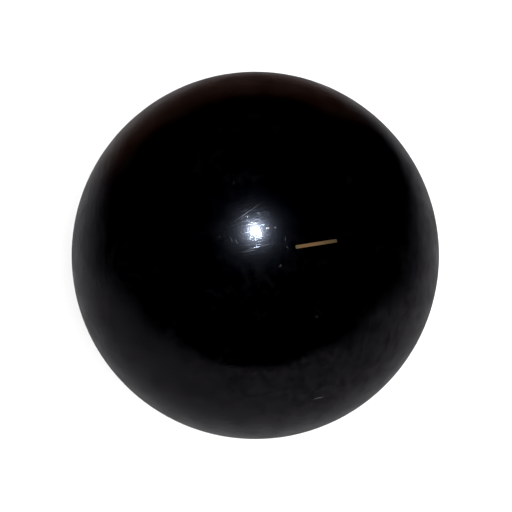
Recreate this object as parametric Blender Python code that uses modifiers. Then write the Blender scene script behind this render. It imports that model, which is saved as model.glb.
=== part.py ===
"""Case opening friction ball: a hollow, air-filled rubber ball that unscrews watch case backs.

Five pieces, from the outside in: a seamless black cover with a short slit, an air bladder, a reinforcing
patch round the bladder's valve hole, a valve housing, and a self-sealing gum valve core whose lip fills
the slit. The origin is the ball's centre and +Z runs out along the valve.
"""

import math

import bmesh
import bpy
from mathutils import Matrix

MM = 0.001

# Driving dimensions, in millimetres.
BALL_RADIUS = 32.5
COVER_WALL = 2.6
BLADDER_WALL = 1.2
PATCH_WALL = 1.0
FLANGE_WALL = 1.1
LAYER_GAP = 0.3  # between two bonded layers, whose meshes must not touch

LIP_LENGTH = 7.1  # the tan line on the ball: the core's lip, flush in the cover's slit
LIP_WIDTH = 0.56
LIP_CORNER = 0.16  # the rounding of the lip's four corners
LIP_GAP = 0.12  # on each side of the lip
LIP_ROOT = 1.0  # how deep the lip is rooted in the core's head

CORE_HEAD_RADIUS = 4.6
CORE_HEAD_DEPTH = 1.7
CORE_STEM_RADIUS = 3.0
CORE_TIP_RADIUS = 2.1  # the stem's end is tapered, so that it goes in from outside
CORE_TAPER = 1.6
CORE_LENGTH = 9.4
CORE_GAP = 0.15  # between the core and the housing that holds it

HOUSING_WALL = 1.35
HOUSING_FLOOR = 1.3
FLANGE_RADIUS = 8.0
PATCH_RADIUS = 11.5
AIR_HOLE_RADIUS = 0.8  # in the housing's floor, where the needle's tip comes out
EDGE_RADIUS = 0.4  # the housing's rounded outer edges

# How finely the round shapes are divided.
FINE_BALL = 5
PLAIN_BALL = 4
TURN_STEPS = 40
MERGE = 0.00001

# Radii of the layers, and levels along the valve's axis, worked out from the above.
COVER_INNER = BALL_RADIUS - COVER_WALL
BLADDER_OUTER = COVER_INNER - LAYER_GAP
BLADDER_INNER = BLADDER_OUTER - BLADDER_WALL
PATCH_OUTER = BLADDER_INNER - LAYER_GAP
PATCH_INNER = PATCH_OUTER - PATCH_WALL
FLANGE_OUTER = PATCH_INNER - LAYER_GAP
FLANGE_INNER = FLANGE_OUTER - FLANGE_WALL

HEAD_POCKET_RADIUS = CORE_HEAD_RADIUS + CORE_GAP
BORE_RADIUS = CORE_STEM_RADIUS + CORE_GAP
NECK_RADIUS = HEAD_POCKET_RADIUS + HOUSING_WALL
CUP_RADIUS = BORE_RADIUS + HOUSING_WALL
NECK_HOLE_RADIUS = NECK_RADIUS + LAYER_GAP

HEAD_BOTTOM = BLADDER_OUTER - CORE_HEAD_DEPTH
CORE_BOTTOM = BLADDER_OUTER - CORE_LENGTH
POCKET_FLOOR = HEAD_BOTTOM - CORE_GAP
BORE_FLOOR = CORE_BOTTOM - CORE_GAP
CUP_BOTTOM = BORE_FLOOR - HOUSING_FLOOR


def clear_scene():
    for obj in list(bpy.data.objects):
        bpy.data.objects.remove(obj, do_unlink=True)


def collection(name):
    made = bpy.data.collections.new(name)
    bpy.context.scene.collection.children.link(made)
    return made


def rubber(name, colour, roughness):
    made = bpy.data.materials.new(name)
    made.use_nodes = True
    shader = made.node_tree.nodes["Principled BSDF"]
    shader.inputs["Base Color"].default_value = (*colour, 1.0)
    shader.inputs["Roughness"].default_value = roughness
    shader.inputs["Metallic"].default_value = 0.0
    return made


def mesh_object(name, mesh, home, material=None):
    made = bpy.data.objects.new(name, mesh)
    home.objects.link(made)
    if material:
        mesh.materials.append(material)
    return made


def as_cutter(obj):
    obj.hide_render = True
    obj.display_type = "WIRE"
    return obj


def ball(name, radius, fineness, home, material=None):
    """A whole sphere about the origin."""
    mesh = bpy.data.meshes.new(name)
    shape = bmesh.new()
    bmesh.ops.create_icosphere(shape, subdivisions=fineness, radius=radius * MM)
    shape.to_mesh(mesh)
    shape.free()
    mesh.shade_smooth()
    return mesh_object(name, mesh, home, material)


def slot_prism(name, length, width, rounding, low, high, home):
    """An upright bar on the valve's axis that lies along X, with its four upright edges rounded."""
    mesh = bpy.data.meshes.new(name)
    shape = bmesh.new()
    bmesh.ops.create_cube(shape, size=1.0)
    size = Matrix.Diagonal((length * MM, width * MM, (high - low) * MM, 1.0))
    lift = Matrix.Translation((0.0, 0.0, (high + low) / 2 * MM))
    shape.transform(lift @ size)
    upright = [e for e in shape.edges if abs(e.verts[0].co.z - e.verts[1].co.z) > 0.5 * (high - low) * MM]
    bmesh.ops.bevel(shape, geom=upright, offset=rounding * MM, segments=3, profile=0.5, affect="EDGES")
    bmesh.ops.recalc_face_normals(shape, faces=shape.faces)
    shape.to_mesh(mesh)
    shape.free()
    return mesh_object(name, mesh, home)


def dome(radius, start, end, points):
    """Points on a sphere about the origin, from one distance from the axis to another."""
    steps = [start + (end - start) * i / (points - 1) for i in range(points)]
    return [(x, math.sqrt(radius**2 - x**2)) for x in steps]


def corner(x, z, start_degrees, end_degrees, points=4):
    """A rounded edge: an arc of EDGE_RADIUS about a centre, turning from one angle to another."""
    angles = [start_degrees + (end_degrees - start_degrees) * i / (points - 1) for i in range(points)]
    return [
        (x + EDGE_RADIUS * math.cos(math.radians(a)), z + EDGE_RADIUS * math.sin(math.radians(a)))
        for a in angles
    ]


def turned(name, profile, closed, home, material=None):
    """A profile of (distance from the axis, height) turned about Z. An open one starts and ends on it."""
    mesh = bpy.data.meshes.new(name)
    shape = bmesh.new()
    points = [shape.verts.new((x * MM, 0.0, z * MM)) for x, z in profile]
    for first, second in zip(points, points[1:]):
        shape.edges.new((first, second))
    if closed:
        shape.edges.new((points[-1], points[0]))
    shape.to_mesh(mesh)
    shape.free()
    made = mesh_object(name, mesh, home, material)
    screw = made.modifiers.new("turn", "SCREW")
    screw.axis = "Z"
    screw.angle = 2 * math.pi
    screw.steps = TURN_STEPS
    screw.render_steps = TURN_STEPS
    screw.use_merge_vertices = True
    screw.merge_threshold = MERGE
    screw.use_smooth_shade = True
    return made


def combine(obj, other, operation):
    modifier = obj.modifiers.new(f"{operation.lower()} {other.name}", "BOOLEAN")
    modifier.operation = operation
    modifier.object = other
    modifier.solver = "EXACT"
    return modifier


def make_cover(home, cutters, material):
    """The black friction rubber skin: one seamless moulding with a slit over the valve."""
    cover = ball("cover", BALL_RADIUS, FINE_BALL, home, material)
    combine(cover, as_cutter(ball("cover_hollow", COVER_INNER, PLAIN_BALL, cutters)), "DIFFERENCE")
    slit = slot_prism(
        "cover_slit",
        LIP_LENGTH + 2 * LIP_GAP,
        LIP_WIDTH + 2 * LIP_GAP,
        LIP_CORNER + LIP_GAP,
        COVER_INNER - COVER_WALL,
        BALL_RADIUS + COVER_WALL,
        cutters,
    )
    combine(cover, as_cutter(slit), "DIFFERENCE")
    return cover


def make_bladder(home, cutters, material):
    """The airtight inner ball, with a round hole for the valve's neck."""
    bladder = ball("bladder", BLADDER_OUTER, PLAIN_BALL, home, material)
    combine(bladder, as_cutter(ball("bladder_hollow", BLADDER_INNER, PLAIN_BALL, cutters)), "DIFFERENCE")
    top = BALL_RADIUS
    hole = [(0.0, top), (NECK_HOLE_RADIUS, top), (NECK_HOLE_RADIUS, PATCH_INNER), (0.0, PATCH_INNER)]
    combine(bladder, as_cutter(turned("bladder_hole", hole, False, cutters)), "DIFFERENCE")
    return bladder


def make_patch(home, material):
    """The washer that reinforces the bladder from inside, round the valve's neck."""
    outside = dome(PATCH_OUTER, NECK_HOLE_RADIUS, PATCH_RADIUS, 6)
    inside = dome(PATCH_INNER, PATCH_RADIUS - PATCH_WALL, NECK_HOLE_RADIUS, 6)
    return turned("valve_patch", outside + inside, True, home, material)


def make_housing(home, material):
    """The cup that holds the core: a neck through the patch and bladder, a flange and an air hole."""
    neck_foot = math.sqrt(FLANGE_OUTER**2 - NECK_RADIUS**2)
    rim = math.sqrt(BLADDER_OUTER**2 - NECK_RADIUS**2)
    flange_edge = math.sqrt(FLANGE_OUTER**2 - FLANGE_RADIUS**2)
    flange_low = dome(FLANGE_INNER, FLANGE_RADIUS - FLANGE_WALL, CUP_RADIUS, 4)
    profile = [
        *dome(BLADDER_OUTER, HEAD_POCKET_RADIUS, NECK_RADIUS, 3)[:-1],
        (NECK_RADIUS, rim),
        (NECK_RADIUS, neck_foot),
        *dome(FLANGE_OUTER, NECK_RADIUS, FLANGE_RADIUS, 4)[1:-1],
        (FLANGE_RADIUS, flange_edge),
        *flange_low,
        *corner(CUP_RADIUS - EDGE_RADIUS, CUP_BOTTOM + EDGE_RADIUS, 0, -90),
        (AIR_HOLE_RADIUS, CUP_BOTTOM),
        (AIR_HOLE_RADIUS, BORE_FLOOR),
        (CORE_TIP_RADIUS + CORE_GAP, BORE_FLOOR),
        (BORE_RADIUS, CORE_BOTTOM + CORE_TAPER),
        (BORE_RADIUS, POCKET_FLOOR),
        (HEAD_POCKET_RADIUS, POCKET_FLOOR),
    ]
    return turned("valve_housing", profile, True, home, material)


def make_core(home, cutters, material):
    """The soft gum plug that a needle pierces: a stem and head, and the lip in the cover's slit."""
    crown = dome(BLADDER_OUTER, 0.0, CORE_HEAD_RADIUS, 5)
    profile = [
        *crown,
        (CORE_HEAD_RADIUS, HEAD_BOTTOM),
        (CORE_STEM_RADIUS, HEAD_BOTTOM),
        (CORE_STEM_RADIUS, CORE_BOTTOM + CORE_TAPER),
        (CORE_TIP_RADIUS, CORE_BOTTOM),
        (0.0, CORE_BOTTOM),
    ]
    core = turned("valve_core", profile, False, home, material)
    lip_low = BLADDER_OUTER - LIP_ROOT
    lip_high = BALL_RADIUS + LIP_ROOT
    lip = slot_prism("core_lip", LIP_LENGTH, LIP_WIDTH, LIP_CORNER, lip_low, lip_high, cutters)
    combine(core, as_cutter(lip), "UNION")
    combine(core, as_cutter(ball("ball_outside", BALL_RADIUS, FINE_BALL, cutters)), "INTERSECT")
    return core


def main():
    clear_scene()
    parts = collection("friction_ball")
    cutters = collection("cutters")
    cutters.hide_render = True
    make_cover(parts, cutters, rubber("friction_rubber", (0.012, 0.012, 0.013), 0.12))
    make_bladder(parts, cutters, rubber("bladder_rubber", (0.035, 0.034, 0.033), 0.6))
    make_patch(parts, rubber("patch_rubber", (0.22, 0.20, 0.17), 0.8))
    make_housing(parts, rubber("valve_rubber", (0.02, 0.02, 0.02), 0.45))
    make_core(parts, cutters, rubber("gum_rubber", (0.30, 0.19, 0.10), 0.45))


main()
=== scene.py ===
"""Looks of the case opening friction ball: fine meshes and procedural rubber for its five pieces.

Every piece is built in millimetres as rings of points about the valve's axis, lofted into one closed mesh,
and scaled to metres. The frame gives the outer sizes, and the walls and gaps are the named values below.
"""

import math

import bmesh
import bpy
from mathutils import Matrix, Vector


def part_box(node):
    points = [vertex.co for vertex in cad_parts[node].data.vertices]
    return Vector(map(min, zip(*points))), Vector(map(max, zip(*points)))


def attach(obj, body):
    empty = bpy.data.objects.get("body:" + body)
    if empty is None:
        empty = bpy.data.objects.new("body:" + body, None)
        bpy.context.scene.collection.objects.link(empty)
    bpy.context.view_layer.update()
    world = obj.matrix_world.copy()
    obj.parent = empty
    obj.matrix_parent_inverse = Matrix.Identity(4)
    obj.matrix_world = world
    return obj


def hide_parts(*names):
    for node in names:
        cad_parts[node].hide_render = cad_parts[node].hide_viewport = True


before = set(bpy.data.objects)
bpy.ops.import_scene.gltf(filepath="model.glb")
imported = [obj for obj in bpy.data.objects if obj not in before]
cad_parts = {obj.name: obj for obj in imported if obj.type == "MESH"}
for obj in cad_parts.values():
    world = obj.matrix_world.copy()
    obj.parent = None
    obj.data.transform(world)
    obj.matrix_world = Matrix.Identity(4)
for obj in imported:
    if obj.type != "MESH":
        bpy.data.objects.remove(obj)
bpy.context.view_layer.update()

MM = 0.001


def extent(node):
    """A node's largest distance from the valve's axis, its lowest and its highest point, in millimetres."""
    low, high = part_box(node)
    return max(high[0], high[1]) / MM, low[2] / MM, high[2] / MM


# Outer sizes, from the frame.
BALL_RADIUS = extent("cover")[2]
BLADDER_RADIUS = extent("bladder")[0]
PATCH_RADIUS = extent("valve_patch")[0]
FLANGE_RADIUS, CUP_BOTTOM, NECK_TOP = extent("valve_housing")
HEAD_RADIUS, CORE_BOTTOM, _ = extent("valve_core")

# Walls, gaps and details that the frame doesn't give, in millimetres.
COVER_WALL = 2.6
BLADDER_WALL = 1.2
PATCH_WALL = 1.0
FLANGE_WALL = 1.1
LAYER_GAP = 0.3
LIP_LENGTH = 7.1
LIP_WIDTH = 0.56
LIP_CORNER = 0.13
LIP_ROUNDING = 0.05
LIP_ROOT = 0.2  # the fillet where the lip rises from the core's head
LIP_SINK = 0.012
SLIT_GAP = 0.012  # the cover's rubber grips the lip this closely
SLIT_ROUNDING = 0.09
SLIT_SINK = 0.035  # how far the cover dips beside the lip
SLIT_SINK_REACH = 0.45
WALL_DEPTHS = (0.5, 1.1, 1.8, 2.4)  # of the rings down the slit's wall and the lip's side
HEAD_DEPTH = 1.7
STEM_RADIUS = 3.0
TIP_RADIUS = 2.1
STEM_TAPER = 1.6
CORE_GAP = 0.15
HOUSING_WALL = 1.35
HOUSING_FLOOR = 1.3
AIR_HOLE_RADIUS = 0.8

COVER_INNER = BALL_RADIUS - COVER_WALL
BLADDER_INNER = BLADDER_RADIUS - BLADDER_WALL
PATCH_OUTER = BLADDER_INNER - LAYER_GAP
PATCH_INNER = PATCH_OUTER - PATCH_WALL
FLANGE_OUTER = PATCH_INNER - LAYER_GAP
FLANGE_INNER = FLANGE_OUTER - FLANGE_WALL
POCKET_RADIUS = HEAD_RADIUS + CORE_GAP
BORE_RADIUS = STEM_RADIUS + CORE_GAP
NECK_RADIUS = POCKET_RADIUS + HOUSING_WALL
CUP_RADIUS = BORE_RADIUS + HOUSING_WALL
NECK_HOLE_RADIUS = NECK_RADIUS + LAYER_GAP
HEAD_BOTTOM = BLADDER_RADIUS - HEAD_DEPTH
POCKET_FLOOR = HEAD_BOTTOM - CORE_GAP
BORE_FLOOR = CUP_BOTTOM + HOUSING_FLOOR

FINE_TURN = 128  # points in a ring of the cover and the core; a multiple of four
END_STEPS = 6  # of a quarter of them, those on half of the lip's end
PLAIN_TURN = 96
HEAD_RINGS = 14  # across the core's head, from the lip's root to its rim
OUTSIDE_STEP = 0.05  # between the cover's rings outside, over the lip's half-length
INSIDE_STEP = 0.16
LAST_RING = math.radians(178.6)  # of the cover, as an angle from the valve's axis
SHARP_EDGE = math.radians(50)

# The camera: how the ball is turned to it. The valve leans to the image's right, and the slit is near level.
CAMERA_DISTANCE = 0.300
CAMERA_LENS = 118.66
CAMERA_SHIFT = (0.00125, -0.00123)  # of the image's width
VALVE_TILT = math.radians(17.9)  # between the valve's axis and the view
VALVE_BEARING = math.radians(10.7)  # of the valve's axis in the image, above level
SLIT_BEARING = math.radians(8.9)  # of the slit in the image, above level

# The studio: one small flash over the lens, and an even white surround that the gloss doesn't show.
FLASH_ANGLE = 13.9  # degrees over the lens, as the ball sees it
FLASH_SIZE = 0.016
FLASH_POWER = 0.33
FLASH_COLOUR = (0.67, 0.80, 1.0)
FLOOR_SIZE = 3.0
SURROUND = 1.9
BLACK_LEVEL = 0.0048  # light below this is shown as plain black, as when a camera exposes for white

# What the gloss shows instead of that surround: a dim room above, a white sheet below, and the edge of a
# brown table behind. The sheet is given by bearing from the image's foot, the angle from the view's axis at
# which it begins, over how many degrees it brightens, and its share of the light.
SHEET_ROWS = (
    (0, 70.5, 2, 1.0),
    (30, 70.5, 2, 0.96),
    (60, 67, 34, 0.88),
    (90, 92, 44, 1.0),
    (135, 127, 30, 0.94),
    (180, 141, 34, 1.0),
)
SHEET_TURN = 2  # degrees towards the image's left
SHEET_DISTANCE = 0.6
SHEET_LIGHT = 0.084
SHEET_CREASES = 40.0  # how finely the sheet is creased, per metre
ROOM_LIGHT = 0.028
TABLE_LIGHT = (0.039, 0.0225, 0.018)


# ---------------------------------------------------------------- meshes


def smooth(value, start, end):
    """0 before start, 1 after end, and an even S-curve between."""
    t = min(max((value - start) / (end - start), 0.0), 1.0)
    return t * t * (3 - 2 * t)


def close_ladder(shape, ring):
    """Closes a ring with rungs between its two halves, which are mirror images across the X axis."""
    half = len(ring) // 2
    shape.faces.new((ring[1], ring[0], ring[-1]))
    for i in range(1, half - 1):
        shape.faces.new((ring[i + 1], ring[i], ring[-i], ring[-i - 1]))
    shape.faces.new((ring[half], ring[half - 1], ring[half + 1]))


def loft(name, rings, joined, material):
    """A closed mesh through rings of points. Its ends are closed, or joined to each other."""
    shape = bmesh.new()
    made = [[shape.verts.new(Vector(p) * MM) for p in ring] for ring in rings]
    pairs = list(zip(made, made[1:]))
    if joined:
        pairs.append((made[-1], made[0]))
    for ring, following in pairs:
        for i in range(len(ring)):
            j = (i + 1) % len(ring)
            shape.faces.new((ring[i], ring[j], following[j], following[i]))
    if not joined:
        close_ladder(shape, made[0])
        close_ladder(shape, made[-1])
    bmesh.ops.recalc_face_normals(shape, faces=shape.faces)
    mesh = bpy.data.meshes.new(name)
    shape.to_mesh(mesh)
    shape.free()
    mesh.shade_smooth()
    mesh.set_sharp_from_angle(angle=SHARP_EDGE)
    mesh.materials.append(material)
    piece = bpy.data.objects.new(name, mesh)
    bpy.context.scene.collection.objects.link(piece)
    return piece


def circle(radius, height, count):
    """A level ring of points round the valve's axis."""
    turns = [2 * math.pi * i / count for i in range(count)]
    return [(radius * math.cos(t), radius * math.sin(t), height) for t in turns]


def on_sphere(x, y, radius):
    """A point of the plane wrapped onto a sphere about the origin, by stereographic projection from below."""
    reach = math.hypot(x, y)
    polar = 2 * math.atan(reach / (2 * radius))
    across = radius * math.sin(polar) / reach if reach else 0.0
    return (x * across, y * across, radius * math.cos(polar))


def bar_outline(grow):
    """The lip's outline, a long bar with rounded corners, grown outwards and divided evenly for lofting.

    The long sides are divided by the cosine of the turn, like an ellipse, and each end by its length.
    """
    half_length = LIP_LENGTH / 2 + grow
    half_width = LIP_WIDTH / 2 + grow
    corner = LIP_CORNER + grow
    straight = half_width - corner
    end_path = straight + corner * math.pi / 2
    steps = FINE_TURN // 4
    start = END_STEPS * 2 * math.pi / FINE_TURN
    quarter = []
    for i in range(steps + 1):
        turn = 2 * math.pi * i / FINE_TURN
        if i < END_STEPS:
            along = end_path * i / END_STEPS
            if along <= straight:
                quarter.append((half_length, along))
            else:
                bend = (along - straight) / corner
                quarter.append(
                    (
                        half_length - corner * (1 - math.cos(bend)),
                        straight + corner * math.sin(bend),
                    )
                )
        else:
            quarter.append(((half_length - corner) * math.cos(turn) / math.cos(start), half_width))
    upper = quarter + [(-x, y) for x, y in reversed(quarter[:-1])]
    return upper + [(x, -y) for x, y in reversed(upper[1:-1])]


def oval(half_width):
    """The ellipse that spans the grown bar. It turns into a circle as it grows."""
    half_length = half_width + (LIP_LENGTH - LIP_WIDTH) / 2
    turns = [2 * math.pi * i / FINE_TURN for i in range(FINE_TURN)]
    return [(half_length * math.cos(t), half_width * math.sin(t)) for t in turns]


def blended_outline(half_width):
    """An outline that is the bar beside the lip and an oval further out."""
    grow = half_width - LIP_WIDTH / 2
    share = smooth(grow, 0.1, 2.2)
    pairs = zip(bar_outline(grow), oval(half_width))
    return [(b[0] + (o[0] - b[0]) * share, b[1] + (o[1] - b[1]) * share) for b, o in pairs]


def half_widths(start, end, step):
    """Half-widths of nested outlines, whose spacing grows with their size as their points' spacing does."""
    focus = LIP_LENGTH / 2
    first, last = math.asinh(start / focus), math.asinh(end / focus)
    count = max(2, round((last - first) / step))
    return [focus * math.sinh(first + (last - first) * i / count) for i in range(count + 1)]


def dent(grow):
    """How far the cover's surface dips at a distance from the lip's side."""
    return SLIT_SINK * math.exp(-((grow / SLIT_SINK_REACH) ** 2))


def make_cover(material):
    """The skin, from its south pole over the outside to the slit, down the slit, and back inside."""
    edge = LIP_WIDTH / 2 + SLIT_GAP + SLIT_ROUNDING
    far = 2 * BALL_RADIUS * math.tan(LAST_RING / 2)
    outside = []
    for half_width in reversed(half_widths(edge, far, OUTSIDE_STEP)):
        sunk = BALL_RADIUS - dent(half_width - LIP_WIDTH / 2)
        outside.append([on_sphere(x, y, sunk) for x, y in blended_outline(half_width)])
    rounding = []
    for i in range(1, 6):
        bend = math.radians(90 - 18 * i)
        grow = SLIT_GAP + SLIT_ROUNDING * (1 - math.sin(math.radians(18 * i)))
        sunk = BALL_RADIUS - dent(grow) - SLIT_ROUNDING * (1 - math.sin(bend))
        rounding.append([on_sphere(x, y, sunk) for x, y in bar_outline(grow)])
    wall = []
    for depth in WALL_DEPTHS:
        wall.append([on_sphere(x, y, BALL_RADIUS - depth) for x, y in bar_outline(SLIT_GAP)])
    inside = []
    for half_width in half_widths(LIP_WIDTH / 2 + SLIT_GAP + 0.05, far, INSIDE_STEP):
        inside.append([on_sphere(x, y, COVER_INNER) for x, y in blended_outline(half_width)])
    return loft("cover_skin", outside + rounding + wall + inside, False, material)


def make_core(material):
    """The gum plug: the lip that shows in the slit, its filleted root, the ribbed stem and the taper."""
    lip_top = BALL_RADIUS - LIP_SINK
    steps = [(-0.08, lip_top), (-0.065, lip_top)]
    for i in range(5):
        bend = math.radians(22.5 * i)
        down = LIP_ROUNDING * (1 - math.cos(bend))
        steps.append((-LIP_ROUNDING * (1 - math.sin(bend)), lip_top - down))
    steps += [(0.0, lip_top - depth) for depth in WALL_DEPTHS]
    for i in range(5):
        bend = math.radians(22.5 * i)
        height = LIP_ROOT * (1 - math.sin(bend))
        steps.append((LIP_ROOT * (1 - math.cos(bend)), BLADDER_RADIUS + height))
    # The first ring is an oval, because the ladder that closes it needs curved ends.
    rings = [[on_sphere(x, y, lip_top) for x, y in oval(LIP_WIDTH / 2 - 0.12)]]
    rings += [[on_sphere(x, y, radius) for x, y in bar_outline(grow)] for grow, radius in steps]
    root = bar_outline(LIP_ROOT + 0.1)
    edge = circle(HEAD_RADIUS - 0.35, 0.0, FINE_TURN)
    for i in range(HEAD_RINGS + 1):
        share = i / HEAD_RINGS
        spots = [(r[0] + (e[0] - r[0]) * share, r[1] + (e[1] - r[1]) * share) for r, e in zip(root, edge)]
        rings.append([on_sphere(x, y, BLADDER_RADIUS) for x, y in spots])
    rings += turned(core_profile(), FINE_TURN)
    return loft("valve_core_gum", rings, False, material)


def arc(x, z, radius, start_degrees, end_degrees, points=5):
    """Points of a rounded edge about a centre."""
    step = (end_degrees - start_degrees) / (points - 1)
    angles = [math.radians(start_degrees + step * i) for i in range(points)]
    return [(x + radius * math.cos(a), z + radius * math.sin(a)) for a in angles]


def dome(radius, start, end, points):
    """Points on a sphere about the origin, from one distance from the axis to another."""
    steps = [start + (end - start) * i / (points - 1) for i in range(points)]
    return [(x, math.sqrt(radius**2 - x**2)) for x in steps]


def at_polar(radius, degrees):
    """A point at a distance from the origin, by its angle from the valve's axis."""
    return (radius * math.sin(math.radians(degrees)), radius * math.cos(math.radians(degrees)))


def turned(profile, count):
    """Rings for a profile of distances from the valve's axis and heights."""
    return [circle(x, z, count) for x, z in profile]


def core_profile():
    """The core below its domed top: rim, underside, a stem with sealing ribs, and the taper."""
    rim = math.sqrt(BLADDER_RADIUS**2 - HEAD_RADIUS**2)
    profile = arc(HEAD_RADIUS - 0.25, rim - 0.28, 0.25, 70, 0)
    profile += arc(HEAD_RADIUS - 0.2, HEAD_BOTTOM + 0.2, 0.2, 0, -90)
    profile += arc(STEM_RADIUS + 0.3, HEAD_BOTTOM - 0.3, 0.3, 90, 180)
    ribs_top, ribs_bottom = HEAD_BOTTOM - 1.0, CORE_BOTTOM + STEM_TAPER + 0.6
    steps = 48
    for i in range(steps + 1):
        share = i / steps
        rib = max(0.0, math.sin(share * 4 * math.pi - math.pi / 2)) ** 2
        profile.append((STEM_RADIUS + 0.09 * rib, ribs_top + (ribs_bottom - ribs_top) * share))
    profile += [(STEM_RADIUS, CORE_BOTTOM + STEM_TAPER)]
    profile += arc(TIP_RADIUS - 0.3, CORE_BOTTOM + 0.3, 0.3, 0, -90)
    profile += [(TIP_RADIUS * 0.4, CORE_BOTTOM)]
    return profile


def make_housing(material):
    """The cup: a rounded neck, the flange with a rounded edge, the wall, and the floor with its air hole."""
    neck_top = math.sqrt(BLADDER_RADIUS**2 - NECK_RADIUS**2)
    foot = math.sqrt(FLANGE_OUTER**2 - NECK_RADIUS**2)
    edge = math.sqrt(FLANGE_OUTER**2 - FLANGE_RADIUS**2)
    under = math.sqrt(FLANGE_INNER**2 - CUP_RADIUS**2)
    profile = arc(POCKET_RADIUS + 0.2, NECK_TOP - 0.42, 0.2, 180, 90)
    profile += arc(NECK_RADIUS - 0.2, neck_top - 0.2, 0.2, 80, 0)
    profile += arc(NECK_RADIUS + 0.2, foot + 0.15, 0.2, 180, 255)
    profile += dome(FLANGE_OUTER, NECK_RADIUS + 0.6, FLANGE_RADIUS - 0.4, 5)
    profile += arc(FLANGE_RADIUS - 0.25, edge - 0.25, 0.25, 60, -60)
    profile += dome(FLANGE_INNER, FLANGE_RADIUS - 0.8, CUP_RADIUS + 0.5, 5)
    profile += arc(CUP_RADIUS + 0.4, under - 0.45, 0.4, 100, 180)
    profile += arc(CUP_RADIUS - 0.4, CUP_BOTTOM + 0.4, 0.4, 0, -90)
    profile += arc(AIR_HOLE_RADIUS + 0.15, CUP_BOTTOM + 0.15, 0.15, 270, 180)
    profile += arc(AIR_HOLE_RADIUS + 0.15, BORE_FLOOR - 0.15, 0.15, 180, 90)
    profile += [(TIP_RADIUS + CORE_GAP - 0.1, BORE_FLOOR)]
    profile += [(BORE_RADIUS, CORE_BOTTOM + STEM_TAPER)]
    profile += arc(BORE_RADIUS + 0.2, POCKET_FLOOR - 0.2, 0.2, 180, 90)
    profile += arc(POCKET_RADIUS - 0.1, POCKET_FLOOR + 0.1, 0.1, -90, 0, 3)
    return loft("valve_housing_mould", turned(profile, PLAIN_TURN), True, material)


def make_patch(material):
    """The washer, skived thin at its outer edge and rounded at its hole."""
    hole_top = math.sqrt(PATCH_OUTER**2 - NECK_HOLE_RADIUS**2)
    hole_low = math.sqrt(PATCH_INNER**2 - NECK_HOLE_RADIUS**2)
    profile = arc(NECK_HOLE_RADIUS + 0.15, hole_top - 0.2, 0.15, 180, 90)
    profile += dome(PATCH_OUTER, NECK_HOLE_RADIUS + 0.6, PATCH_RADIUS - 0.15, 14)
    profile += dome(PATCH_INNER, PATCH_RADIUS - PATCH_WALL - 0.3, NECK_HOLE_RADIUS + 0.6, 14)
    profile += arc(NECK_HOLE_RADIUS + 0.15, hole_low + 0.12, 0.15, 270, 180)
    return loft("valve_patch_cloth", turned(profile, PLAIN_TURN), True, material)


def make_bladder(material):
    """The inner ball, with a rounded hole for the valve's neck."""
    hole_degrees = math.degrees(math.asin(NECK_HOLE_RADIUS / BLADDER_RADIUS))
    steps = 60
    polar = [179.5 + (hole_degrees + 0.5 - 179.5) * i / steps for i in range(steps + 1)]
    profile = [at_polar(BLADDER_RADIUS, p) for p in polar]
    hole_top = math.sqrt(BLADDER_RADIUS**2 - NECK_HOLE_RADIUS**2)
    hole_low = math.sqrt(BLADDER_INNER**2 - NECK_HOLE_RADIUS**2)
    profile += arc(NECK_HOLE_RADIUS + 0.15, hole_top - 0.2, 0.15, 90, 180)
    profile += arc(NECK_HOLE_RADIUS + 0.15, hole_low + 0.12, 0.15, 180, 270)
    profile += [at_polar(BLADDER_INNER, p) for p in reversed(polar) if p > hole_degrees + 2]
    return loft("bladder_talc", turned(profile, PLAIN_TURN), False, material)


# ---------------------------------------------------------------- materials

# Handling marks on the cover: longitude and latitude on the ball and heading over +Z from +X, in degrees,
# then length and width in millimetres, and how deep a scuff is or how pale a speck of dust.
# The scuffs are painted pale as well as cut. Near the highlight this pale is a painted glint along each
# scratch, and in the last row it is a real pale handling mark.
SCUFFS_AND_PAINTED_GLINTS = (
    (145.6, 68.5, 22.5, 7.6, 0.13, 0.48),
    (149.7, 68.3, 22, 3.2, 0.12, 0.35),
    (174.6, 72.8, 5, 6.8, 0.12, 0.55),
    (177.2, 70.7, 0, 3.2, 0.1, 0.5),
    (168.0, 65.7, -75, 1.3, 0.12, 0.4),
    (169.3, 67.1, -75, 1.3, 0.12, 0.45),
    (163.0, 80.8, 80, 1.2, 0.1, 0.5),
    (271, 39, 8, 2.4, 0.2, 1.0),
)
NICKS = ((224, 13, 0, 0.7, 0.4, 1.0),)
DUST = (
    (153.4, 75.4, 0, 0.55, 0.45, 1.0),
    (150.0, 77.3, -50, 0.45, 0.4, 0.18),
    (138.8, 73.8, 20, 0.5, 0.35, 0.03),
    (178.4, 81.4, -45, 0.7, 0.45, 0.035),
    (201.5, 77.8, 40, 0.75, 0.5, 0.045),
    (166.4, 62.3, 0, 0.5, 0.4, 0.018),
    (165.6, 63.7, 0, 0.4, 0.35, 0.018),
    (132.7, 60.7, 85, 0.9, 0.3, 0.02),
    (88, 64, 65, 1.1, 0.35, 0.018),
    (146, 40, 60, 0.5, 0.4, 0.018),
    (-1, 55, 20, 0.5, 0.4, 0.018),
    (264, 69, 0, 0.8, 0.6, 0.015),
)
MARK_DEPTH = 3.0
MARK_WANDER = 0.06
SIDES = (23.4, 15.3)  # heights over the ball's centre between which the skin turns grainier

# Layers of hairlines: heading, spacing, run, width, depth, and the shift that makes each layer its own.
HAIRLINES = (
    (10, 1.1, 8.0, 0.04, 0.2, (0, 0, 0)),
    (30, 1.1, 8.0, 0.04, 0.25, (3, 8, 5)),
    (-12, 1.2, 8.0, 0.04, 0.2, (9, 2, 7)),
    (54, 0.9, 7.0, 0.045, 0.38, (4, 4, 1)),
    (80, 0.9, 7.0, 0.045, 0.38, (1, 7, 3)),
    (104, 0.9, 7.0, 0.045, 0.38, (6, 1, 2)),
    (-34, 1.0, 7.0, 0.045, 0.33, (2, 5, 9)),
    (-60, 0.9, 7.0, 0.045, 0.38, (8, 3, 6)),
)


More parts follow.
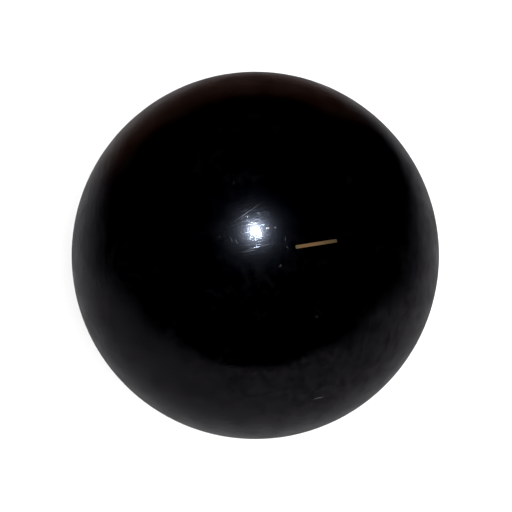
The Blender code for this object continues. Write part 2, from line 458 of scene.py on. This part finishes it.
def add(tree, kind, inputs=None, output=0, **settings):
    """Adds a shader node with its settings and inputs, and gives back one of its outputs."""
    made = tree.nodes.new(kind)
    for name, value in settings.items():
        setattr(made, name, value)
    for socket, value in (inputs or {}).items():
        if isinstance(value, bpy.types.NodeSocket):
            tree.links.new(value, made.inputs[socket])
        else:
            made.inputs[socket].default_value = value
    return made.outputs[output]


def maths(tree, operation, first, second=0.0):
    return add(tree, "ShaderNodeMath", {0: first, 1: second}, operation=operation)


def band(tree, value, low, high, to_low=0.0, to_high=1.0):
    """A value mapped from one range to another with a smooth step."""
    inputs = {"Value": value, "From Min": low, "From Max": high, "To Min": to_low, "To Max": to_high}
    return add(tree, "ShaderNodeMapRange", inputs, interpolation_type="SMOOTHSTEP")


def mix(tree, share, first, second):
    """A blend of two colours, by a share from 0 to 1. Each is a constant or a node's output."""
    inputs = {"Factor": share, "A": first, "B": second}
    made = tree.nodes.new("ShaderNodeMix")
    made.data_type = "RGBA"
    for name, value in inputs.items():
        socket = [s for s in made.inputs if s.name == name and s.type in ("RGBA", "VALUE") and s.enabled][0]
        if isinstance(value, bpy.types.NodeSocket):
            tree.links.new(value, socket)
        else:
            socket.default_value = value
    return [s for s in made.outputs if s.enabled][0]


def place(tree, scale=(1, 1, 1), turn=(0, 0, 0), shift=(0, 0, 0)):
    """The object's own coordinates in millimetres, turned, then scaled."""
    where = add(tree, "ShaderNodeTexCoord", output="Object")
    inputs = {
        "Vector": where,
        "Location": shift,
        "Rotation": tuple(math.radians(t) for t in turn),
        "Scale": tuple(s / MM for s in scale),
    }
    return add(tree, "ShaderNodeMapping", inputs, vector_type="POINT")


def noise(tree, where, scale, detail=3.0, roughness=0.5):
    inputs = {"Vector": where, "Scale": scale, "Detail": detail, "Roughness": roughness}
    return add(tree, "ShaderNodeTexNoise", inputs)


def bump(tree, height, distance, normal=None):
    """A normal that leans with a height from 0 to 1, over a distance in millimetres."""
    inputs = {"Height": height, "Distance": distance * MM, "Strength": 1.0}
    if normal:
        inputs["Normal"] = normal
    return add(tree, "ShaderNodeBump", inputs)


def rubber(name):
    """A new material, its node tree and its shader."""
    made = bpy.data.materials.new(name)
    made.use_nodes = True
    return made, made.node_tree, made.node_tree.nodes["Principled BSDF"]


def wire(tree, shader, **links):
    """Links what a material has worked out to its shader."""
    names = {"colour": "Base Color", "rough": "Roughness", "normal": "Normal", "coat_normal": "Coat Normal"}
    for key, socket in links.items():
        tree.links.new(socket, shader.inputs[names[key]])


def hairlines(tree, heading, spacing, run, width, depth, shift):
    """Fine, nearly straight scratches along a heading: where the skin cuts long thin walls of noise."""
    where = place(tree, scale=(1 / run, 1 / spacing, 1 / run), turn=(0, 0, -heading), shift=shift)
    level = maths(tree, "ABSOLUTE", maths(tree, "SUBTRACT", noise(tree, where, 1.0, 0.0), 0.5))
    groove = band(tree, level, 0.0, 0.5 * width / spacing, depth, 0.0)
    broken = band(tree, noise(tree, place(tree, shift=shift), 0.45, 2.0), 0.42, 0.58)
    return maths(tree, "MULTIPLY", groove, broken)


def specks(tree, spacing, radius, shift):
    """Scattered specks of dust, where a random point lies near the surface."""
    where = place(tree, scale=(1 / spacing,) * 3, shift=shift)
    distance = add(tree, "ShaderNodeTexVoronoi", {"Vector": where, "Scale": 1.0}, output="Distance")
    return band(tree, distance, 0.3 * radius / spacing, radius / spacing, 1.0, 0.0)


def mark(tree, where, longitude, latitude, heading, length, width, strength=1.0):
    """Its strength within a long or round spot on the ball, at a longitude and latitude, and 0 outside it."""
    lon, lat, way = (math.radians(angle) for angle in (longitude, latitude, heading))
    out = Vector((math.cos(lat) * math.cos(lon), math.cos(lat) * math.sin(lon), math.sin(lat)))
    along = Vector((math.cos(way), math.sin(way), 0.0))
    along = (along - out * along.dot(out)).normalized()
    turn = Matrix((along, out.cross(along), out)).transposed().to_euler()
    inputs = {
        "Vector": where,
        "Location": out * BALL_RADIUS * MM,
        "Rotation": turn,
        "Scale": (length / 2 * MM, width / 2 * MM, MARK_DEPTH * MM),
    }
    spot = add(tree, "ShaderNodeMapping", inputs, vector_type="TEXTURE")
    reach = add(tree, "ShaderNodeVectorMath", {0: spot}, output="Value", operation="LENGTH")
    return band(tree, reach, 0.2, 1.0, strength, 0.0)


def marks(tree, table):
    """Several spots in one, on coordinates that wander a little, so that none has an even edge."""
    where = add(tree, "ShaderNodeTexCoord", output="Object")
    inputs = {"Vector": place(tree), "Scale": 0.8, "Detail": 2.0}
    wander = add(tree, "ShaderNodeTexNoise", inputs, output="Color")
    wander = add(tree, "ShaderNodeVectorMath", {0: wander, 1: (0.5,) * 3}, operation="SUBTRACT")
    inputs = {0: wander, 1: (MARK_WANDER * MM,) * 3, 2: where}
    where = add(tree, "ShaderNodeVectorMath", inputs, operation="MULTIPLY_ADD")
    total = mark(tree, where, *table[0])
    for row in table[1:]:
        total = maths(tree, "MAXIMUM", total, mark(tree, where, *row))
    return total


def friction_rubber():
    """Glossy moulded black rubber: a hazy skin, grainier below, with fine scuffs whose pale colour is partly
    a painted glint, and a little dust.
    """
    made, tree, shader = rubber("friction_rubber_gloss")
    shader.inputs["IOR"].default_value = 1.42
    shader.inputs["Specular Tint"].default_value = (1.0, 0.95, 1.0, 1)
    shader.inputs["Coat Weight"].default_value = 1.0
    shader.inputs["Coat IOR"].default_value = 1.6
    shader.inputs["Coat Roughness"].default_value = 0.085
    scuffs = hairlines(tree, *HAIRLINES[0])
    for row in HAIRLINES[1:]:
        scuffs = maths(tree, "MAXIMUM", scuffs, hairlines(tree, *row))
    scuffs_with_painted_glint = marks(tree, SCUFFS_AND_PAINTED_GLINTS)
    scuffs = maths(tree, "MAXIMUM", scuffs, scuffs_with_painted_glint)
    coarse = specks(tree, 9.0, 0.22, (2.3, 1.1, 4.2))
    fine = specks(tree, 6.0, 0.12, (7, 3, 5))
    strewn = maths(tree, "MULTIPLY", maths(tree, "MAXIMUM", coarse, fine), 0.02)
    dust = maths(tree, "MAXIMUM", strewn, marks(tree, DUST))
    smear = noise(tree, place(tree, scale=(0.12, 0.2, 0.2), turn=(0, 0, -12)), 1.0, 4.0)
    spot = place(tree)
    grain = noise(tree, spot, 2.2, 2.0, 0.6)
    peel = noise(tree, spot, 0.7, 2.0)
    patches = noise(tree, spot, 0.8, 6.0, 0.7)
    film = maths(tree, "MULTIPLY", band(tree, smear, 0.35, 0.65), band(tree, patches, 0.4, 0.62))
    height_up = add(tree, "ShaderNodeSeparateXYZ", {"Vector": spot}, output="Z")
    sides = band(tree, height_up, *SIDES)
    side_grain = maths(tree, "MULTIPLY", noise(tree, spot, 1.1, 2.0, 0.6), sides)
    body = mix(tree, film, (0.0003, 0.0003, 0.0004, 1), (0.0021, 0.0020, 0.0022, 1))
    # Pale share: the dust's own colour, and along the scuffs a pale that is a painted glint near the
    # highlight and a real handling mark on the ball's side.
    pale = maths(tree, "MAXIMUM", dust, maths(tree, "MULTIPLY", scuffs_with_painted_glint, 0.2))
    colour = mix(tree, pale, body, (0.45, 0.45, 0.47, 1))
    rough = band(tree, smear, 0.3, 0.7, 0.213, 0.233)
    rough = maths(tree, "ADD", rough, maths(tree, "MULTIPLY", dust, 0.4))
    normal = bump(tree, peel, 0.006)
    normal = bump(tree, grain, 0.005, normal)
    normal = bump(tree, side_grain, 0.06, normal)
    normal = bump(tree, scuffs, 0.006, normal)
    normal = bump(tree, marks(tree, NICKS), 0.03, normal)
    normal = bump(tree, dust, 0.02, normal)
    wire(tree, shader, colour=colour, rough=rough, normal=normal, coat_normal=normal)
    return made


def gum_rubber():
    """Tan gum rubber with painted flash light: warm and lighter at the slit's left, nearer the highlight,
    darker and browner at its right, and finely mottled along the cut.
    """
    made, tree, shader = rubber("gum_rubber_tan")
    shader.inputs["Specular IOR Level"].default_value = 0.15
    along = add(tree, "ShaderNodeSeparateXYZ", {"Vector": place(tree)}, output="X")
    # Painted flash light and glare: the lip is lighter at its left end, nearer the highlight, and darker
    # towards its right.
    colour = mix(tree, band(tree, along, -1.0, 3.5), (0.090, 0.050, 0.0180, 1), (0.036, 0.026, 0.0075, 1))
    colour = mix(tree, band(tree, along, -2.6, -3.5), colour, (0.062, 0.049, 0.021, 1))
    mottle = noise(tree, place(tree), 2.2, 3.0, 0.6)
    colour = mix(tree, band(tree, mottle, 0.42, 0.6, 0.0, 0.25), colour, (0.11, 0.055, 0.03, 1))
    rough = band(tree, mottle, 0.3, 0.7, 0.55, 0.7)
    normal = bump(tree, noise(tree, place(tree), 9.0, 3.0), 0.02)
    wire(tree, shader, colour=colour, rough=rough, normal=normal)
    return made


def bladder_rubber():
    """Dull black rubber under a film of talc, thicker in patches and wiped in streaks."""
    made, tree, shader = rubber("bladder_rubber_talc")
    film = noise(tree, place(tree), 0.12, 6.0, 0.62)
    streaks = noise(tree, place(tree, scale=(0.06, 0.5, 0.5), turn=(0, 20, 30)), 1.0, 4.0)
    powder = maths(tree, "MULTIPLY", band(tree, film, 0.4, 0.72), band(tree, streaks, 0.25, 0.7))
    grains = noise(tree, place(tree), 4.0, 4.0, 0.7)
    powder = maths(tree, "MULTIPLY", powder, band(tree, grains, 0.3, 0.6))
    colour = mix(tree, powder, (0.02, 0.02, 0.021, 1), (0.36, 0.35, 0.33, 1))
    rough = band(tree, powder, 0.0, 1.0, 0.55, 0.95)
    normal = bump(tree, grains, 0.03, bump(tree, film, 0.1))
    wire(tree, shader, colour=colour, rough=rough, normal=normal)
    return made


def patch_rubber():
    """Rubberised cotton: a plain weave of buff threads with dark rubber in the gaps between them."""
    made, tree, shader = rubber("patch_rubber_cloth")
    pitch = 2 * math.pi / 0.55
    spot = place(tree)
    across = add(tree, "ShaderNodeSeparateXYZ", {"Vector": spot}, output="X")
    down = add(tree, "ShaderNodeSeparateXYZ", {"Vector": spot}, output="Y")
    warp = maths(tree, "SINE", maths(tree, "MULTIPLY", across, pitch))
    weft = maths(tree, "SINE", maths(tree, "MULTIPLY", down, pitch))
    weave = maths(tree, "ABSOLUTE", maths(tree, "MULTIPLY", warp, weft))
    fibre = noise(tree, spot, 6.0, 3.0, 0.65)
    height = maths(tree, "ADD", weave, maths(tree, "MULTIPLY", fibre, 0.4))
    colour = mix(tree, band(tree, height, 0.25, 0.8), (0.03, 0.027, 0.024, 1), (0.30, 0.26, 0.20, 1))
    rough = band(tree, height, 0.2, 1.0, 0.6, 0.9)
    wire(tree, shader, colour=colour, rough=rough, normal=bump(tree, height, 0.12))
    return made


def valve_rubber():
    """Satin black rubber as it leaves the mould, with turned tool rings and a bloom of grey."""
    made, tree, shader = rubber("valve_rubber_satin")
    spot = place(tree)
    height_up = add(tree, "ShaderNodeSeparateXYZ", {"Vector": spot}, output="Z")
    rings = maths(tree, "SINE", maths(tree, "MULTIPLY", height_up, 2 * math.pi / 0.2))
    bloom = noise(tree, spot, 0.7, 4.0, 0.6)
    colour = mix(tree, band(tree, bloom, 0.45, 0.75), (0.014, 0.014, 0.015, 1), (0.06, 0.06, 0.062, 1))
    rough = band(tree, bloom, 0.3, 0.7, 0.38, 0.58)
    normal = bump(tree, rings, 0.004, bump(tree, noise(tree, spot, 5.0, 3.0), 0.02))
    wire(tree, shader, colour=colour, rough=rough, normal=normal)
    return made


# ---------------------------------------------------------------- camera and studio


def camera_axes():
    """The camera's right, up and back directions in the object's frame, from how the ball is turned to it."""
    valve = Vector(
        (
            math.sin(VALVE_TILT) * math.cos(VALVE_BEARING),
            math.sin(VALVE_TILT) * math.sin(VALVE_BEARING),
            math.cos(VALVE_TILT),
        )
    )
    slit = Vector((math.cos(SLIT_BEARING), math.sin(SLIT_BEARING), 0.0))
    slit.z = -(slit.x * valve.x + slit.y * valve.y) / valve.z
    slit.normalize()
    across = valve.cross(slit)
    return [Vector((slit[i], across[i], valve[i])) for i in range(3)]


def towards(polar_degrees, bearing_degrees):
    """A direction from the ball, by its angle from the view's axis and its bearing in the image."""
    right, up, back = camera_axes()
    polar, bearing = math.radians(polar_degrees), math.radians(bearing_degrees)
    flat = right * math.cos(bearing) + up * math.sin(bearing)
    return flat * math.sin(polar) + back * math.cos(polar)


def make_camera():
    """A long lens at the angle given above."""
    data = bpy.data.cameras.new("camera")
    data.lens = CAMERA_LENS
    data.sensor_width = 36.0
    data.shift_x, data.shift_y = CAMERA_SHIFT
    data.clip_start = 0.01
    made = bpy.data.objects.new("camera", data)
    right, up, back = camera_axes()
    turn = Matrix((right, up, back)).transposed().to_4x4()
    made.matrix_world = Matrix.Translation(back * CAMERA_DISTANCE) @ turn
    bpy.context.scene.collection.objects.link(made)
    bpy.context.scene.camera = made


def make_flash():
    """The small light over the lens that the ball's gloss shows as its one highlight."""
    data = bpy.data.lights.new("flash", "AREA")
    data.shape = "DISK"
    data.size = FLASH_SIZE
    data.energy = FLASH_POWER
    data.color = FLASH_COLOUR
    data.use_shadow = False
    made = bpy.data.objects.new("flash", data)
    made.location = towards(FLASH_ANGLE, 90.0) * CAMERA_DISTANCE
    made.rotation_euler = made.location.to_track_quat("Z", "Y").to_euler()
    made.visible_diffuse = False
    bpy.context.scene.collection.objects.link(made)


def make_floor():
    """The plain pale surface that the ball stands on."""
    mesh = bpy.data.meshes.new("floor")
    shape = bmesh.new()
    bmesh.ops.create_grid(shape, x_segments=8, y_segments=8, size=FLOOR_SIZE)
    shape.to_mesh(mesh)
    shape.free()
    made = bpy.data.objects.new("floor", mesh)
    made.location.z = -BALL_RADIUS * MM
    pale = bpy.data.materials.new("floor_pale")
    pale.use_nodes = True
    shader = pale.node_tree.nodes["Principled BSDF"]
    shader.inputs["Base Color"].default_value = (0.9, 0.9, 0.9, 1)
    shader.inputs["Roughness"].default_value = 0.9
    shader.inputs["Specular IOR Level"].default_value = 0.0
    mesh.materials.append(pale)
    bpy.context.scene.collection.objects.link(made)
    made.visible_glossy = False


def make_world():
    """An even white surround that lights the floor and stays out of the ball's gloss."""
    world = bpy.data.worlds.new("surround")
    world.use_nodes = True
    shader = world.node_tree.nodes["Background"]
    shader.inputs["Color"].default_value = (1, 1, 1, 1)
    shader.inputs["Strength"].default_value = SURROUND
    world.cycles_visibility.glossy = False
    bpy.context.scene.world = world


def sheet_row(bearing):
    """Where the sheet begins, how softly, and its share of the light, at a bearing from the image's foot."""
    for row, following in zip(SHEET_ROWS, SHEET_ROWS[1:]):
        if bearing <= following[0]:
            share = smooth(bearing, row[0], following[0])
            return [low + (high - low) * share for low, high in zip(row[1:], following[1:])]
    return SHEET_ROWS[-1][1:]


def sheet_light(polar, bearing):
    """The radiance of the dim room, the sheet, and the brown table beyond its far edge."""
    from_foot = abs((bearing + 90 + SHEET_TURN + 180) % 360 - 180)
    start, soft, light = sheet_row(from_foot)
    white = smooth(polar, start, start + soft) * SHEET_LIGHT * light * (1 + 0.5 * smooth(polar, 105, 150))
    room = ROOM_LIGHT * (1 - 0.7 * smooth(polar, 85, 130))
    far_side = smooth(from_foot, 105, 130) * smooth(bearing % 360, 40, 75)
    brown = far_side * smooth(polar, 106, 122) * (1 - smooth(polar, 150, 170))
    pale = smooth(polar, 110, 150)
    sheet = (1.0, 0.955 + 0.03 * pale, 1.07 - 0.04 * pale)
    return [room + white * s + brown * t for s, t in zip(sheet, TABLE_LIGHT)] + [1.0]


def make_sheet():
    """A globe of light round the ball that only its gloss sees: the room, the sheet and the table."""
    shape = bmesh.new()
    tint = shape.verts.layers.float_color.new("light")
    rows = []
    for polar in range(0, 181, 3):
        row = []
        for bearing in range(0, 360, 3):
            vert = shape.verts.new(towards(min(max(polar, 0.1), 179.9), bearing) * SHEET_DISTANCE)
            vert[tint] = sheet_light(polar, bearing)
            row.append(vert)
        rows.append(row)
    for row, following in zip(rows, rows[1:]):
        for i in range(len(row)):
            j = (i + 1) % len(row)
            shape.faces.new((row[i], row[j], following[j], following[i]))
    mesh = bpy.data.meshes.new("bounce_sheet")
    shape.to_mesh(mesh)
    shape.free()
    made = bpy.data.objects.new("bounce_sheet", mesh)
    glow = bpy.data.materials.new("bounce_glow")
    glow.use_nodes = True
    glow.cycles.emission_sampling = "NONE"
    tree = glow.node_tree
    tree.nodes.clear()
    light = add(tree, "ShaderNodeAttribute", output="Color", attribute_name="light")
    spot = add(tree, "ShaderNodeTexCoord", output="Object")
    creases = band(tree, noise(tree, spot, SHEET_CREASES, 6.0, 0.65), 0.36, 0.64, 0.35, 1.65)
    shine = add(tree, "ShaderNodeEmission", {"Color": light, "Strength": creases})
    out = tree.nodes.new("ShaderNodeOutputMaterial")
    tree.links.new(shine, out.inputs["Surface"])
    mesh.materials.append(glow)
    bpy.context.scene.collection.objects.link(made)
    made.visible_camera = False
    made.visible_diffuse = False
    made.visible_shadow = False
    made.visible_transmission = False


PIECES = (
    (make_cover, friction_rubber, "cover", "friction_rubber"),
    (make_bladder, bladder_rubber, "bladder", "bladder_rubber"),
    (make_patch, patch_rubber, "valve_patch", "patch_rubber"),
    (make_housing, valve_rubber, "valve_housing", "valve_rubber"),
    (make_core, gum_rubber, "valve_core", "gum_rubber"),
)

for make, material, node, slot in PIECES:
    piece = make(material())
    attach(piece, "root")
    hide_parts(node)

make_camera()
make_flash()
make_floor()
make_world()
make_sheet()

look = bpy.context.scene.view_settings
look.view_transform = "Standard"
look.use_curve_mapping = True
look.curve_mapping.black_level = (BLACK_LEVEL,) * 3
look.curve_mapping.update()
